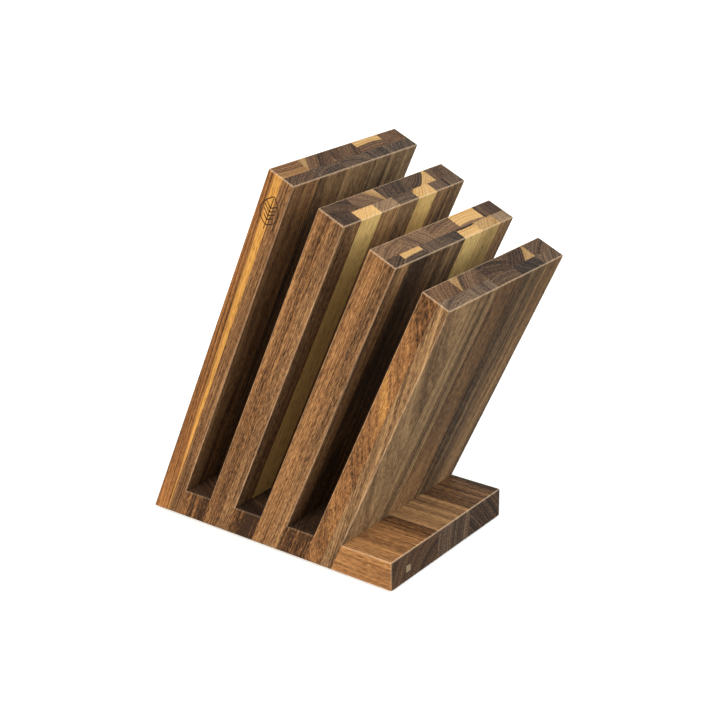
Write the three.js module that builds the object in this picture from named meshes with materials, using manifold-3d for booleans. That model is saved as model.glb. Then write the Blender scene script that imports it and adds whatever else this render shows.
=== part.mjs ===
// A magnetic knife block in walnut. Four leaning boards of falling height are parted by three spacers
// and propped by a foot. Each board is glued up from two layers of edge-glued staves, with a magnet bar
// shut in between the layers, so that a blade holds on either face. Nothing on it moves.
//
// Millimetres. X runs from the tall back board to the foot, Y across the boards, Z up.
// The origin is the middle of the underside of the whole block's box, on the worktop.
import * as THREE from "three";
import { mergeVertices } from "three/addons/utils/BufferGeometryUtils.js";
import Module from "manifold-3d";

// Boards, spacers and foot.
const depth = 124; // width of every board, spacer and the foot, along Y
const lean = THREE.MathUtils.degToRad(25); // of the boards, from upright towards the foot
const boardCount = 4;
const boardThickness = 20;
const backLayer = 11.5; // thickness of a board's back layer; the front layer is the rest of the board
const shortBoard = 218; // length of the front board along its back face
const boardStep = 20; // how much longer each board is than the one in front of it
const slotWidth = 20; // clear gap between two boards, square to their faces
const spacerHeight = 20; // height of the slot floors above the underside
const footHeight = 20;
const footLength = 47.5; // along the underside, from the front board's face to the foot's square end
const ease = 1; // chamfer on the exposed edges
const glueLine = 0.1; // gap between glued faces

// Stave widths from the near side to the far side. Each row is stretched to fill the depth.
const wideStaves = [24.6, 26.7, 26, 26, 20.7];
const narrowStaves = [17, 19.6, 19, 18.8, 18.8, 18.5, 12.3];
const narrowStavesShifted = [13.7, 19.3, 18.3, 19, 19.1, 19.9, 14.7];
const frontRows = [wideStaves, narrowStaves, narrowStavesShifted, wideStaves];
const footStaves = [50.5, 37, 36.5];

// One magnet bar in each board, let into both layers, behind the front row's middle stave.
const magnetWidth = 10;
const magnetSkin = 5; // wood between the magnet's pocket and either face of the board
const magnetClearance = 0.2; // all round the bar in its pocket
const pocketTop = 18; // from the board's top end to the pocket
const pocketBottom = 30; // height of the pocket's lower end above the underside

// Two dowels pin the foot's sloping end to the front board, square to the joint.
const dowelDiameter = 6;
const dowelInBoard = 12;
const dowelInFoot = 14;
const dowelHeight = 12; // where a dowel crosses the joint, above the underside
const dowelSpacing = 62;
const dowelClearance = 0.15; // round the dowel and at each end

// Four rubber pads in shallow recesses: two under the back spacer, two under the foot.
const padDiameter = 14;
const padThickness = 3;
const padProud = 1; // how far a pad stands out of the wood
const padSideInset = 18; // from the block's side to a pad's middle
const padEndInset = 17; // from the foot's square end to a front pad's middle
const padClearance = 0.2; // round the pad and behind it
const roundSides = 32;

// Directions and places worked out from those sizes.
const across = new THREE.Vector3(Math.cos(lean), 0, -Math.sin(lean)); // square to the boards' faces
const along = new THREE.Vector3(Math.sin(lean), 0, Math.cos(lean)); // up the boards
const near = new THREE.Vector3(0, -1, 0);
const far = new THREE.Vector3(0, 1, 0);
const up = new THREE.Vector3(0, 0, 1);
const endways = new THREE.Vector3(1, 0, 0); // out of the foot's square end
const backward = across.clone().negate();
const sides = { near, far };
const sideY = (side) => (side === near ? 0 : depth);
const pitch = boardThickness + slotWidth;
const backFace = (board) => (board - 1) * pitch; // along "across", from the back board's heel
const frontFace = (board) => backFace(board) + boardThickness;
const boardLength = (board) => shortBoard + (boardCount - board) * boardStep;
const footStart = frontFace(boardCount) / Math.cos(lean);
const footEnd = footStart + footLength;
const beyond = 2 * boardLength(1) + footEnd + depth; // clear of the block in any direction

const wasm = await Module();
wasm.setup();

function toSolid(geometry) {
  const bare = geometry.clone();
  bare.deleteAttribute("normal");
  bare.deleteAttribute("uv");
  const merged = mergeVertices(bare, 1e-4);
  const triVerts = new Uint32Array(merged.index.array);
  const vertProperties = merged.attributes.position.array;
  return new wasm.Manifold(new wasm.Mesh({ numProp: 3, vertProperties, triVerts }));
}

function toGeometry(solid) {
  const mesh = solid.getMesh();
  const geometry = new THREE.BufferGeometry();
  geometry.setAttribute("position", new THREE.BufferAttribute(mesh.vertProperties, 3));
  geometry.setIndex(new THREE.BufferAttribute(mesh.triVerts, 1));
  return geometry.toNonIndexed();
}

// The X of the leaning plane "n" across, at height z.
const planeX = (n, z) => n / Math.cos(lean) + z * Math.tan(lean);

// The point on the leaning plane "n" across, at height z and depth y.
const onPlane = (n, y, z) => new THREE.Vector3(planeX(n, z), y, z);

// A side outline, as [x, z] points, made solid over the whole depth.
function profileSolid(points) {
  const shape = new THREE.Shape(points.map(([x, z]) => new THREE.Vector2(x, z)));
  const geometry = new THREE.ExtrudeGeometry(shape, { depth, bevelEnabled: false });
  geometry.rotateX(Math.PI / 2).translate(0, depth, 0); // the outline stands up and grows along Y
  return toSolid(geometry);
}

// A box with its own axes along "long", "out" and the third direction, centred on "middle".
function turnedBox(sizes, middle, long, out) {
  const third = new THREE.Vector3().crossVectors(long, out);
  const frame = new THREE.Matrix4().makeBasis(long, out, third).setPosition(middle);
  return toSolid(new THREE.BoxGeometry(...sizes).applyMatrix4(frame));
}

// Chamfers the straight edge from "start" to "end" between two square faces with these normals.
function easeEdge(solid, start, end, normalA, normalB) {
  const bulk = 4 * ease;
  const out = new THREE.Vector3().addVectors(normalA, normalB).normalize();
  const long = new THREE.Vector3().subVectors(end, start);
  const middle = new THREE.Vector3().addVectors(start, end).multiplyScalar(0.5);
  middle.addScaledVector(out, bulk / 2 - ease / Math.SQRT2);
  const cutter = turnedBox([long.length(), bulk, bulk], middle, long.normalize(), out);
  return solid.subtract(cutter);
}

// Start and end of each stave of a row along Y, with half a glue line off each glued edge.
function staveSpans(widths) {
  const stretch = depth / widths.reduce((sum, width) => sum + width, 0);
  let start = 0;
  return widths.map((width, i) => {
    const end = start + width * stretch;
    const from = i === 0 ? -beyond : start + glueLine / 2;
    const to = i === widths.length - 1 ? beyond : end - glueLine / 2;
    start = end;
    return [from, to];
  });
}

// Everything between two leaning planes and two depths.
function cell(fromAcross, toAcross, [fromY, toY]) {
  const sizes = [2 * beyond, toY - fromY, toAcross - fromAcross];
  const middle = new THREE.Vector3(0, (fromY + toY) / 2, 0);
  middle.addScaledVector(across, (fromAcross + toAcross) / 2);
  return turnedBox(sizes, middle, along, far);
}

// A board in one piece: its sides are parallel, its heel is cut level and its top end square.
function boardBlank(board) {
  const [back, front] = [backFace(board), frontFace(board)];
  const topBack = onPlane(back, 0, 0).addScaledVector(along, boardLength(board));
  const topFront = topBack.clone().addScaledVector(across, boardThickness);
  let solid = profileSolid([
    [planeX(back, 0), 0],
    [planeX(front, 0), 0],
    [topFront.x, topFront.z],
    [topBack.x, topBack.z],
  ]);
  const backFoot = board === 1 ? 0 : spacerHeight;
  const frontFoot = board === boardCount ? footHeight : spacerHeight;
  for (const side of Object.values(sides)) {
    const y = sideY(side);
    const shifted = (point) => point.clone().setY(y);
    solid = easeEdge(solid, onPlane(back, y, backFoot), shifted(topBack).add(along), side, backward);
    solid = easeEdge(solid, onPlane(front, y, frontFoot), shifted(topFront).add(along), side, across);
    solid = easeEdge(solid, shifted(topBack).sub(across), shifted(topFront).add(across), side, along);
  }
  for (const [corner, normal] of [[topBack, backward], [topFront, across]]) {
    const from = corner.clone().setY(-ease);
    const to = corner.clone().setY(depth + ease);
    solid = easeEdge(solid, from, to, normal, along);
  }
  return solid;
}

// The magnet bar of a board, grown on every side by "grow" to cut its pocket.
function magnetBar(board, grow) {
  const row = frontRows[board - 1];
  const [from, to] = staveSpans(row)[(row.length - 1) / 2];
  const core = backFace(board) + boardThickness / 2;
  const bottom = core * Math.tan(lean) + pocketBottom / Math.cos(lean);
  const top = backFace(board) * Math.tan(lean) + boardLength(board) - pocketTop;
  const middle = new THREE.Vector3(0, (from + to) / 2, 0);
  middle.addScaledVector(across, core).addScaledVector(along, (bottom + top) / 2);
  const pocket = [top - bottom, magnetWidth + 2 * magnetClearance, boardThickness - 2 * magnetSkin];
  const slack = 2 * (magnetClearance - grow);
  return turnedBox(pocket.map((size) => size - slack), middle, along, far);
}

// A round bar along "direction", centred on "middle".
function roundBar(radius, length, middle, direction) {
  const turn = new THREE.Quaternion().setFromUnitVectors(far, direction);
  const bar = new THREE.CylinderGeometry(radius, radius, length, roundSides);
  return toSolid(bar.applyQuaternion(turn).translate(middle.x, middle.y, middle.z));
}

// A foot dowel on one side, grown on every side by "grow" to drill its hole.
function dowel(side, grow) {
  const y = depth / 2 + (side === near ? -1 : 1) * (dowelSpacing / 2);
  const middle = onPlane(frontFace(boardCount), y, dowelHeight);
  middle.addScaledVector(across, (dowelInFoot - dowelInBoard) / 2);
  return roundBar(dowelDiameter / 2 + grow, dowelInFoot + dowelInBoard + 2 * grow, middle, across);
}

// A pad, or with a clearance its recess.
function pad(x, side, grow) {
  const y = side === near ? padSideInset : depth - padSideInset;
  const height = padThickness + grow;
  return roundBar(padDiameter / 2 + grow, height, new THREE.Vector3(x, y, height / 2 - padProud), up);
}

const backPadX = planeX((frontFace(1) + backFace(2)) / 2, 0);
const frontPadX = footEnd - padEndInset;

const walnut = new THREE.MeshStandardMaterial({ color: 0x6f4c31, roughness: 0.5, metalness: 0 });
const beech = new THREE.MeshStandardMaterial({ color: 0xc9a679, roughness: 0.6, metalness: 0 });
const magnet = new THREE.MeshStandardMaterial({ color: 0x74777b, roughness: 0.35, metalness: 0.9 });
const rubber = new THREE.MeshStandardMaterial({ color: 0x1d1d1e, roughness: 0.85, metalness: 0 });

const block = new THREE.Group();

function add(name, solid, material) {
  const mesh = new THREE.Mesh(toGeometry(solid), material);
  mesh.name = name;
  block.add(mesh);
}

// A board's two layers of staves and its magnet. The glue line between the layers is split evenly
// about their joint. The magnet's pocket and the dowel holes are cut before the staves come apart.
function addBoard(board) {
  const joint = backFace(board) + backLayer;
  let blank = boardBlank(board).subtract(magnetBar(board, magnetClearance));
  if (board === boardCount)
    for (const side of Object.values(sides)) blank = blank.subtract(dowel(side, dowelClearance));
  const layers = {
    back: [joint - glueLine / 2 - beyond, joint - glueLine / 2, wideStaves],
    front: [joint + glueLine / 2, joint + glueLine / 2 + beyond, frontRows[board - 1]],
  };
  for (const [layer, [from, to, row]] of Object.entries(layers))
    staveSpans(row).forEach((span, i) => {
      add(`board_${board}_${layer}_stave_${i + 1}`, blank.intersect(cell(from, to, span)), walnut);
    });
  add(`magnet_bar_${board}`, magnetBar(board, 0), magnet);
}

// A spacer fills the slot between two boards up to the slot's floor.
function addSpacer(board) {
  const from = frontFace(board) + glueLine;
  const to = backFace(board + 1) - glueLine;
  let solid = profileSolid([
    [planeX(from, 0), 0],
    [planeX(to, 0), 0],
    [planeX(to, spacerHeight), spacerHeight],
    [planeX(from, spacerHeight), spacerHeight],
  ]);
  for (const side of Object.values(sides)) {
    const start = onPlane(from - ease, sideY(side), spacerHeight);
    const end = onPlane(to + ease, sideY(side), spacerHeight);
    solid = easeEdge(solid, start, end, side, up);
    if (board === 1) solid = solid.subtract(pad(backPadX, side, padClearance));
  }
  add(`spacer_${board}`, solid, walnut);
}

// The foot's sloping end is glued and dowelled to the front board; its other end is square.
function footBlank() {
  const start = frontFace(boardCount) + glueLine;
  let solid = profileSolid([
    [planeX(start, 0), 0],
    [footEnd, 0],
    [footEnd, footHeight],
    [planeX(start, footHeight), footHeight],
  ]);
  const endTop = new THREE.Vector3(footEnd, 0, footHeight);
  const from = endTop.clone().setY(-ease);
  solid = easeEdge(solid, from, endTop.clone().setY(depth + ease), endways, up);
  for (const side of Object.values(sides)) {
    const corner = endTop.clone().setY(sideY(side));
    const root = onPlane(start - ease, corner.y, footHeight);
    solid = easeEdge(solid, root, corner.clone().add(endways), side, up);
    solid = easeEdge(solid, corner.clone().setZ(-ease), corner.clone().add(up), side, endways);
    solid = solid.subtract(pad(frontPadX, side, padClearance)).subtract(dowel(side, dowelClearance));
  }
  return solid;
}

function addFoot() {
  const blank = footBlank();
  staveSpans(footStaves).forEach((span, i) => {
    add(`foot_stave_${i + 1}`, blank.intersect(cell(-beyond, beyond, span)), walnut);
  });
}

for (let board = 1; board <= boardCount; board++) addBoard(board);
for (let board = 1; board < boardCount; board++) addSpacer(board);
addFoot();
for (const [name, side] of Object.entries(sides)) {
  add(`foot_dowel_${name}`, dowel(side, 0), beech);
  add(`rubber_pad_back_${name}`, pad(backPadX, side, 0), rubber);
  add(`rubber_pad_front_${name}`, pad(frontPadX, side, 0), rubber);
}

// The block is drawn from the back board's heel; its box's underside middle becomes the origin.
const box = new THREE.Box3().setFromObject(block);
const middle = box.getCenter(new THREE.Vector3());
block.position.set(-middle.x, -middle.y, -box.min.z);

export default block;
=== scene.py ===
"""A magnetic knife block in oiled walnut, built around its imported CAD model.

Four leaning boards are glued up from two layers of staves, with spacers between them and a foot in
front. Every walnut piece is sawn from one eased blank by the same Geometry Nodes tree, which also
tells the wood where the piece grew in its log, so that end grain and face grain belong together.
"""

import math
from collections import namedtuple

import bmesh
import bpy
from bpy.props import FloatProperty, FloatVectorProperty, IntProperty, PointerProperty
from mathutils import Matrix, Vector


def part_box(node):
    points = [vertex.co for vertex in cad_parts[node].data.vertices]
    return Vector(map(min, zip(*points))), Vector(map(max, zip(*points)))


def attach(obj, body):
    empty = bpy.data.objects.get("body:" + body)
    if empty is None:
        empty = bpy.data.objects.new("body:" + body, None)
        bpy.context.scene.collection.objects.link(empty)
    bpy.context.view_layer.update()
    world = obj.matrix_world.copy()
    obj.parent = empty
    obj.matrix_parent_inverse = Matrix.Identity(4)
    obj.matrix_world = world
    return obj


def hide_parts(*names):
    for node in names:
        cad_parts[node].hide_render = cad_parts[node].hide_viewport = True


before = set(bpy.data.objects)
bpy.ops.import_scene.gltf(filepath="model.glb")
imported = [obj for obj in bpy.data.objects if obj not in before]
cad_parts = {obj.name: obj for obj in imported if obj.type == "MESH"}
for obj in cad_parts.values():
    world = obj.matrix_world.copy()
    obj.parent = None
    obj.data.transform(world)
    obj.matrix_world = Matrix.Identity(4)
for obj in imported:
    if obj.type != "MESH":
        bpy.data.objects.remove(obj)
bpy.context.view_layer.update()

bl_info = {
    "name": "Walnut knife block",
    "version": (1, 0, 0),
    "blender": (4, 5, 0),
    "location": "View3D > Sidebar > Knife block",
    "description": "Builds a magnetic knife block of glued-up walnut staves around its CAD frame",
    "category": "Object",
}

MM = 0.001
BODY = "root"
BOARDS = (1, 2, 3, 4)
MAGNET_BARS = [f"magnet_bar_{board}" for board in BOARDS]
DOWELS = ("foot_dowel_near", "foot_dowel_far")
PADS = ("rubber_pad_back_near", "rubber_pad_back_far", "rubber_pad_front_near",
        "rubber_pad_front_far")
SPARE = 2 * MM  # how far a saw cut runs past the outer faces, which the blank already has
PROUD = 0.03 * MM  # how far the plug and the leaf stand out of the wood
PLUG_IN, PLUG_UP = 18 * MM, 8.4 * MM  # the plug's middle from the near side and the underside
PLUG_ROOM = 0.1 * MM  # how much wider its pocket is than the plug
LEAF_DEPTH = 0.3 * MM
FLUTE_DEPTH, DOWEL_CHAMFER, MAGNET_CHAMFER = 0.25 * MM, 0.8 * MM, 0.4 * MM
# Arrises are lighter: partly pale sanded wood, partly a painted highlight that is stronger where a
# face turns up to the light and fainter in the slots' shade.
WEAR_AND_HIGHLIGHT, PAINTED_TOP_HIGHLIGHT, WEAR_IN_SHADED_SLOT = 0.4, 0.6, 0.2  # arris lightening: wear and painted highlight
AT_SLOT = 2 * MM  # how far above its floor or behind its front an arris still counts as a slot's
BOARD_SEEDS, LAYER_SEEDS, SEED_GAP = 22.0, 11.0, 1.37  # from board to board, layer and stave
SPACER_SEED, FOOT_SEED = 203.0, 307.0
LOOKED_AT = Vector((112, 50, 75)) * MM  # from the tall board's near heel
CAMERA_SHIFT = (0.0509, 0.0819)


# ---------------- the frame's own planes

def measured_lean():
    """How far the boards lean: two boards' boxes differ only by the step in their lengths."""
    tall_low, tall_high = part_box("board_1_back_stave_2")
    short_low, short_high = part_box("board_2_back_stave_2")
    step = (tall_high - tall_low) - (short_high - short_low)
    return math.atan2(step.x, step.z)


LEAN = measured_lean()
ACROSS = Vector((math.cos(LEAN), 0, -math.sin(LEAN)))  # square to the boards' faces
ALONG = Vector((math.sin(LEAN), 0, math.cos(LEAN)))  # up the boards
DEPTHWISE = Vector((0, 1, 0))
UNDERSIDE, SLOT_FLOOR = (corner.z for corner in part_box("spacer_2"))
NEAR_SIDE, FAR_SIDE = (corner.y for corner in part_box("spacer_2"))
FOOT_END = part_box("foot_stave_2")[1].x
FOOT_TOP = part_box("foot_stave_2")[1].z


def reach(node, direction):
    """How far a CAD node reaches along a direction, as its lowest and highest distance."""
    along = [vertex.co.dot(direction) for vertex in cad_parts[node].data.vertices]
    return min(along), max(along)


def leaning_box(node):
    """A CAD node's lowest and highest corner, measured across, in depth and along the boards."""
    reaches = (reach(node, way) for way in (ACROSS, DEPTHWISE, ALONG))
    return (Vector(corner) for corner in zip(*reaches))


def on_plane(across, height):
    """The point of a leaning plane at a height, in the block's side view."""
    return (across + height * math.sin(LEAN)) / math.cos(LEAN), height


def board_faces(board):
    """A board's back face, front face and top end: two distances across and one along."""
    back = reach(f"board_{board}_back_stave_2", ACROSS)[0]
    front = reach(f"board_{board}_front_stave_2", ACROSS)[1]
    return back, front, reach(f"board_{board}_back_stave_2", ALONG)[1]


# ---------------- settings

class BlockShape(bpy.types.PropertyGroup):
    arris_radius: FloatProperty(
        name="Arris radius", description="Rounding of every outer edge", default=0.75 * MM,
        min=0.1 * MM, unit="LENGTH")
    arris_steps: IntProperty(
        name="Arris steps", description="Faces round each arris", default=4, min=1, max=8)
    magnet_count: IntProperty(
        name="Magnets", description="Block magnets in the tallest board's row", default=9, min=1)
    magnet_gap: FloatProperty(
        name="Magnet gap", description="Gap between two magnets", default=0.8 * MM, unit="LENGTH")
    hollow_clearance: FloatProperty(
        name="Hollow clearance", description="Room round each magnet, dowel and pad in its hollow",
        default=0.2 * MM, unit="LENGTH")
    dowel_flutes: IntProperty(
        name="Dowel flutes", description="Flutes round each dowel", default=12, min=3)
    leaf_drop: FloatProperty(
        name="Leaf drop", description="From the board's top end to the leaf's middle",
        default=23 * MM, unit="LENGTH")
    leaf_length: FloatProperty(
        name="Leaf length", description="Length of the burnt leaf", default=19 * MM, unit="LENGTH")
    leaf_width: FloatProperty(
        name="Leaf width", description="Width of the burnt leaf", default=13.5 * MM, unit="LENGTH")
    leaf_line: FloatProperty(
        name="Burnt line", description="Width of the burnt lines", default=0.7 * MM, unit="LENGTH")
    leaf_veins: IntProperty(
        name="Veins", description="Pairs of side veins in the leaf", default=4, min=1)
    plug_width: FloatProperty(
        name="Plug width", description="Width of the small square plug in the foot's end",
        default=4.6 * MM, unit="LENGTH")
    plug_depth: FloatProperty(
        name="Plug depth", description="How far the plug goes into the foot", default=2 * MM,
        unit="LENGTH")


class WalnutLook(bpy.types.PropertyGroup):
    dark: FloatVectorProperty(
        name="Dark heartwood", description="Latewood and dark streaks", subtype="COLOR",
        default=(0.036, 0.020, 0.012), min=0, max=1)
    middle: FloatVectorProperty(
        name="Heartwood", description="Common colour of the oiled heartwood", subtype="COLOR",
        default=(0.215, 0.107, 0.048), min=0, max=1)
    light: FloatVectorProperty(
        name="Light heartwood", description="Pale streaks in the heartwood", subtype="COLOR",
        default=(0.45, 0.246, 0.104), min=0, max=1)
    sapwood: FloatVectorProperty(
        name="Sapwood", description="The pale outer wood of the log", subtype="COLOR",
        default=(0.74, 0.50, 0.185), min=0, max=1)
    gold: FloatVectorProperty(
        name="Golden streak", description="Colour of a golden streak in the heartwood",
        subtype="COLOR", default=(0.53, 0.275, 0.062), min=0, max=1)
    end_tint: FloatVectorProperty(
        name="End grain", description="How end grain tints the heartwood", subtype="COLOR",
        default=(0.64, 0.725, 0.96), min=0, max=1)
    ring_spacing: FloatProperty(
        name="Ring spacing", description="Width of a year's growth, in millimetres", default=2.0)
    roughness: FloatProperty(
        name="Oil roughness", description="Roughness of the oiled face grain", default=0.58,
        min=0, max=1, subtype="FACTOR")
    gloss: FloatProperty(
        name="Oil gloss", description="How strongly the oiled wood mirrors", default=0.10,
        min=0, max=1, subtype="FACTOR")


class StageLook(bpy.types.PropertyGroup):
    floor: FloatVectorProperty(
        name="Floor", description="Colour of the floor", subtype="COLOR",
        default=(0.9, 0.9, 0.9), min=0, max=1)
    glow: FloatProperty(
        name="Floor glow", description="Light that the floor gives by itself", default=0.3)
    key: FloatProperty(
        name="Key", description="Strength of the soft light on the near side", default=3.5)
    fill: FloatProperty(
        name="Fill", description="Strength of the soft light on the foot's side", default=3.4)
    top: FloatProperty(
        name="Top", description="Strength of the soft light from above", default=0.25)
    sky: FloatProperty(
        name="Sky", description="Strength of the light from all round, above", default=0.62)
    ground: FloatProperty(
        name="Ground", description="Strength of the light from all round, below", default=0.25)
    azimuth: FloatProperty(
        name="Azimuth", description="Camera's turn from the near side towards the foot",
        default=math.radians(38.95), subtype="ANGLE")
    elevation: FloatProperty(
        name="Elevation", description="Camera's height above the horizon",
        default=math.radians(23.71), subtype="ANGLE")
    roll: FloatProperty(
        name="Roll", description="Camera's turn about its view", default=math.radians(-1.70),
        subtype="ANGLE")
    distance: FloatProperty(
        name="Distance", description="From the camera to the point it looks at", default=0.9354,
        unit="LENGTH")
    lens: FloatProperty(
        name="Lens", description="Focal length on a 36 mm sensor, in millimetres", default=71.78)


# ---------------- node tools

class Nodes:
    """A node tree, with short ways to add to it."""

    def __init__(self, tree):
        self.tree = tree

    def fill(self, node, inputs):
        """Fills a node's inputs, in order or by name, with links or plain values."""
        pairs = inputs.items() if isinstance(inputs, dict) else enumerate(inputs)
        for key, value in pairs:
            if isinstance(value, bpy.types.NodeSocket):
                self.tree.links.new(value, node.inputs[key])
            else:
                node.inputs[key].default_value = value
        return node

    def put(self, kind, inputs=(), **settings):
        """Adds a node with its settings and inputs and returns it."""
        node = self.tree.nodes.new(kind)
        for name, value in settings.items():
            setattr(node, name, value)
        return self.fill(node, inputs)

    def out(self, *asked, **settings):
        """The first output of a new node."""
        return self.put(*asked, **settings).outputs[0]

    def maths(self, operation, *values):
        return self.out("ShaderNodeMath", values, operation=operation)

    def plus(self, first, second):
        return self.maths("ADD", first, second)

    def minus(self, first, second):
        return self.maths("SUBTRACT", first, second)

    def times(self, first, second):
        return self.maths("MULTIPLY", first, second)

    def over(self, first, second):
        return self.maths("DIVIDE", first, second)

    def onto(self, value, factor, base):
        """A value times a factor, added to a base."""
        return self.maths("MULTIPLY_ADD", value, factor, base)

    def about_half(self, value, contrast, base):
        """Adds a pattern that runs round a half to a base, with a contrast."""
        return self.onto(self.minus(value, 0.5), contrast, base)

    def ramped(self, value, low, high, to_low=0.0, to_high=1.0, smooth=True):
        """A value brought from one range to another and held inside it."""
        return self.put("ShaderNodeMapRange", {
            "Value": value, "From Min": low, "From Max": high, "To Min": to_low,
            "To Max": to_high},
            interpolation_type="SMOOTHSTEP" if smooth else "LINEAR").outputs["Result"]

    def vectors(self, operation, *values):
        """A vector maths node's vector, or its number where the operation gives one."""
        node = self.put("ShaderNodeVectorMath", values, operation=operation)
        return node.outputs["Value" if operation == "LENGTH" else "Vector"]

    def stretched(self, vector, factors, base=(0, 0, 0)):
        """A vector times a factor for each axis, added to another vector."""
        return self.vectors("MULTIPLY_ADD", vector, factors, base)

    def scaled(self, vector, factor):
        return self.out(
            "ShaderNodeVectorMath", {0: vector, "Scale": factor}, operation="SCALE")

    def vector(self, x, y, z):
        return self.out("ShaderNodeCombineXYZ", (x, y, z))

    def part(self, vector, axis):
        """One of a vector's three numbers."""
        return self.put("ShaderNodeSeparateXYZ", [vector]).outputs[axis]

    def turned(self, vector, angle):
        """A vector turned about the depth axis."""
        return self.out("ShaderNodeVectorRotate", {"Vector": vector, "Angle": angle},
                        rotation_type="Y_AXIS")

    def noise(self, vector, scale=1.0, detail=2.0, roughness=0.5, output="Fac"):
        return self.put("ShaderNodeTexNoise", {
            "Vector": vector, "Scale": scale, "Detail": detail,
            "Roughness": roughness}).outputs[output]

    def blended(self, factor, first, second, blend_type="MIX"):
        """Two colours, or a colour and a number's grey, mixed by a factor."""
        return self.put("ShaderNodeMix", {0: factor, 6: first, 7: second}, data_type="RGBA",
                        blend_type=blend_type).outputs[2]

    def tinted(self, colour, tint, factor=1.0):
        """A colour multiplied by a tint, as far as the factor says."""
        return self.blended(factor, colour, tint, "MULTIPLY")

    def bumped(self, height, strength, depth):
        """The normals of a surface with a bump."""
        return self.out("ShaderNodeBump", {
            "Height": height, "Strength": strength, "Distance": depth})

    def attribute(self, name, output="Fac"):
        return self.put("ShaderNodeAttribute", attribute_name=name).outputs[output]

    def object_place(self):
        """Where a point is on its object, in metres."""
        return self.put("ShaderNodeTexCoord").outputs["Object"]

    def given(self, kind):
        """What a Geometry Nodes tree knows of each point or face: its Position or its Normal."""
        return self.out("GeometryNodeInput" + kind)

    def transformed(self, geometry, place, angle):
        """Geometry turned about the depth axis and moved to a place."""
        return self.out("GeometryNodeTransform", {
            "Geometry": geometry, "Translation": place,
            "Rotation": self.vector(0, angle, 0)})


def new_material(name):
    """An empty material, its tree, and a Principled shader joined to the output."""
    material = bpy.data.materials.new(name)
    material.use_nodes = True
    material.node_tree.nodes.clear()
    n = Nodes(material.node_tree)
    shader = n.put("ShaderNodeBsdfPrincipled")
    n.put("ShaderNodeOutputMaterial", {"Surface": shader.outputs[0]})
    return material, n, shader


def geometry_tree(name, sockets):
    """An empty Geometry Nodes tree, its named inputs and its output node."""
    tree = bpy.data.node_groups.new(name, "GeometryNodeTree")
    tree.interface.new_socket("Geometry", in_out="INPUT", socket_type="NodeSocketGeometry")
    for socket, kind in sockets.items():
        tree.interface.new_socket(socket, in_out="INPUT", socket_type="NodeSocket" + kind)
    tree.interface.new_socket("Geometry", in_out="OUTPUT", socket_type="NodeSocketGeometry")
    n = Nodes(tree)
    return n, n.put("NodeGroupInput").outputs, n.put("NodeGroupOutput")


def finish_tree(n, geometry, material, output):
    """Ends a Geometry Nodes tree: real geometry with its material, ready to become a mesh."""
    real = n.out("GeometryNodeRealizeInstances", [geometry])
    last = n.put("GeometryNodeSetMaterial", {"Geometry": real, "Material": material})
    n.fill(output, [last.outputs[0]])
    return n.tree


def linked(name, data):
    """A new object in the scene."""
    thing = bpy.data.objects.new(name, data)
    bpy.context.scene.collection.objects.link(thing)
    return thing


def grown(name, source, tree, values):
    """Runs a Geometry Nodes tree on a mesh and returns the result as a new plain object."""
    helper = linked(name + "_source", source)
    modifier = helper.modifiers.new("Tree", "NODES")
    modifier.node_group = tree
    for item in tree.interface.items_tree:
        if item.in_out == "INPUT" and item.name in values:
            modifier[item.identifier] = values[item.name]
    evaluated = helper.evaluated_get(bpy.context.evaluated_depsgraph_get())
    mesh = bpy.data.meshes.new_from_object(evaluated)
    bpy.data.objects.remove(helper)
    mesh.name = name
    return linked(name, mesh)


def settle(piece, node):
    """A finished piece rides on the block and stands for its CAD node."""
    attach(piece, BODY)
    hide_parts(node)


def poured(name, bm):
    """The mesh that a bmesh was building."""
    mesh = bpy.data.meshes.new(name)
    bm.to_mesh(mesh)
    bm.free()
    return mesh


# ---------------- oiled walnut

# How many cells of each pattern's noise lie in a millimetre, across the grain and along it.
BROAD_BEND = (0.018, 0.018, 0.0035)
FINE_WOBBLE = (0.16, 0.16, 0.016)
FIBRES = (1.1, 1.1, 0.014)
DASHES = (1.9, 1.9, 0.26)
PORES = (1.5, 1.5, 0.12)
BAND_ACROSS, BAND_ALONG = 0.2, 0.0035
SEED_STEP = (7.3, 3.1, 5.7)  # keeps the pieces' patterns apart

# How far each of these moves the heartwood along its ramp from dark, 0, to light, 1.
BAND_CONTRAST = 1.7
FIBRE_CONTRAST = 1.5
DASH_CONTRAST = 1.3
YEAR_CONTRAST = 0.12
STREAK_LIFT = 0.6
THREAD_DROP = 0.38
LATE_DROP, LATE_DROP_AT_END = 0.18, 0.14
SHADE_STEP = 0.42
RAMP = (0.08, 0.52, 1.0)  # where the dark, common and light heartwood lie on it

WARM, COOL = (1.18, 0.98, 0.74, 1), (0.84, 1.0, 1.16, 1)
SAP_END_TINT, SAP_RING_TINT = (0.84, 0.78, 0.88, 1), (0.74, 0.60, 0.44, 1)
PORE_TINT = (0.25, 0.17, 0.12, 1)
# Pale sanded wood with a painted highlight, laid along the arrises.
WEAR_AND_HIGHLIGHT_COLOUR = (0.60, 0.42, 0.27, 1)


def ring_radius(n, log, offset):
    """Distance from the pith in millimetres, in a trunk that isn't quite round or straight."""
    middle_grey = (0.5, 0.5, 0.5)
    broad = n.noise(n.stretched(log, BROAD_BEND, offset), detail=1.0, output="Color")
    fine = n.noise(n.stretched(log, FINE_WOBBLE, offset), output="Color")
    bent = n.stretched(n.vectors("SUBTRACT", broad, middle_grey), (4, 4, 0), log)
    wavy = n.stretched(n.vectors("SUBTRACT", fine, middle_grey), (1, 1, 0), bent)
    return n.vectors("LENGTH", n.stretched(wavy, (1, 1, 0)))


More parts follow.
